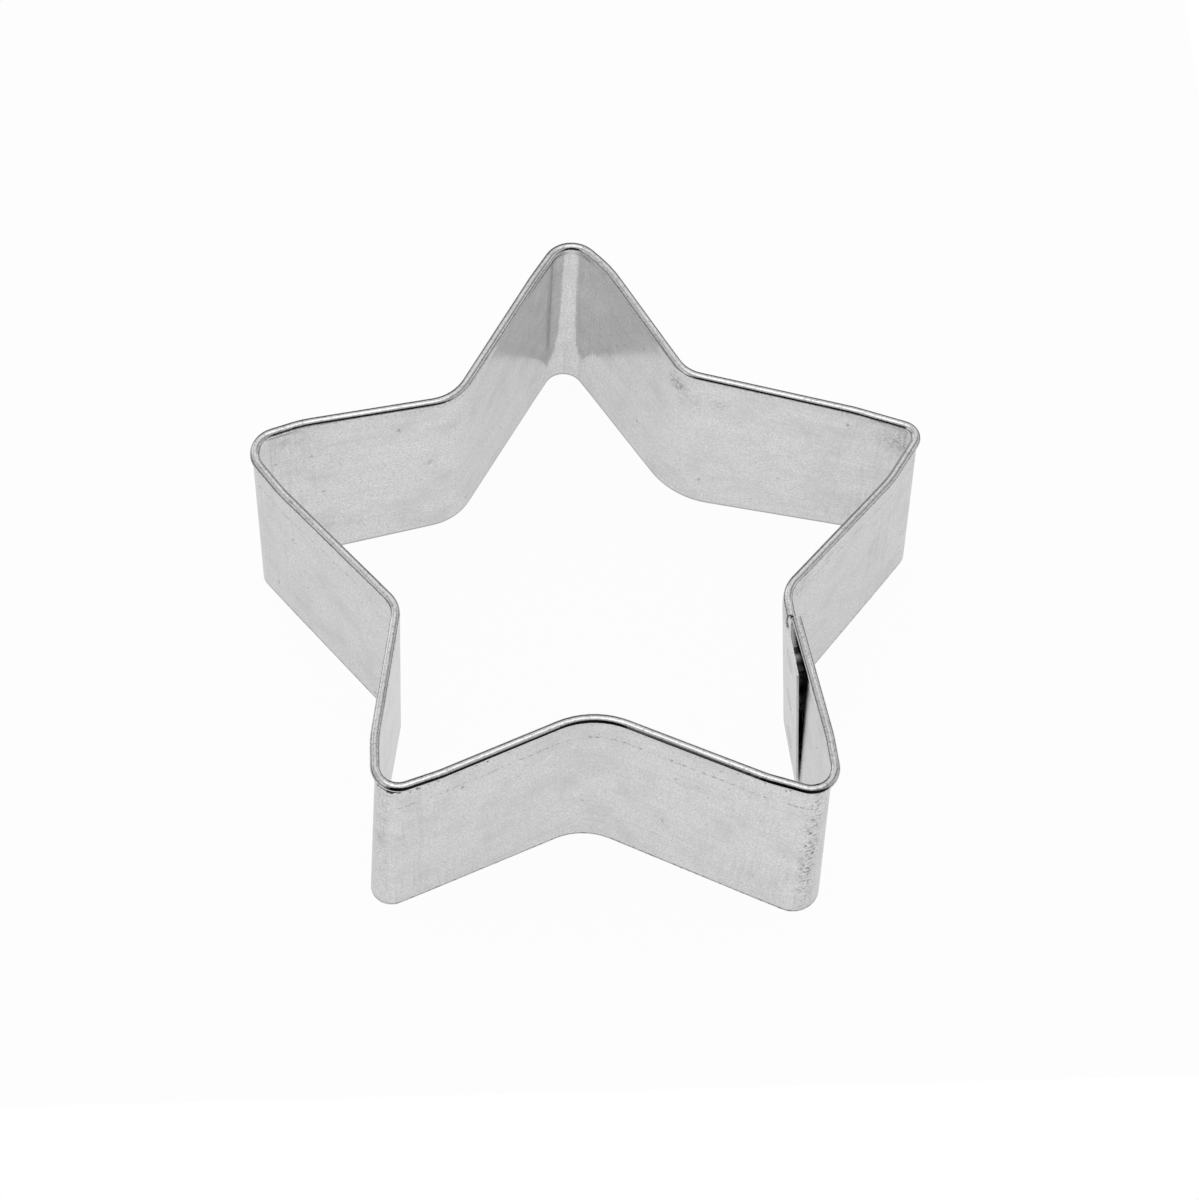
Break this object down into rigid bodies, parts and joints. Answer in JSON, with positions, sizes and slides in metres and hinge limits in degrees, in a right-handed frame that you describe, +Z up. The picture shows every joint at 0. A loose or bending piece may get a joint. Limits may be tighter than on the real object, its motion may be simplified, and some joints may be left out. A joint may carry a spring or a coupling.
{
  "type": "cookie cutter",
  "caption": "Star-shaped cookie cutter of bent tinplate strip, with a hollow rolled rim on top, a raw cutting edge below, and a spot-welded lap at one inner corner.",
  "frame": {"origin": "on the surface that the cutter stands on, under the middle of its bounding box", "axes": "+Z up from the cutting edge to the rolled rim, +Y along the back tip of the star, +X to the right seen from the front"},
  "size_m": [0.067, 0.0634, 0.025],
  "materials": {
    "tinplate": "rolled tinplate, soft grey sheen with fine grain",
    "weld": "pressed and fused tinplate, slightly duller than the sheet"
  },
  "bodies": {
    "root": {"cutter_strip": "tinplate", "spot_weld_lower": "weld", "spot_weld_middle": "weld", "spot_weld_upper": "weld"}
  },
  "joints": []
}
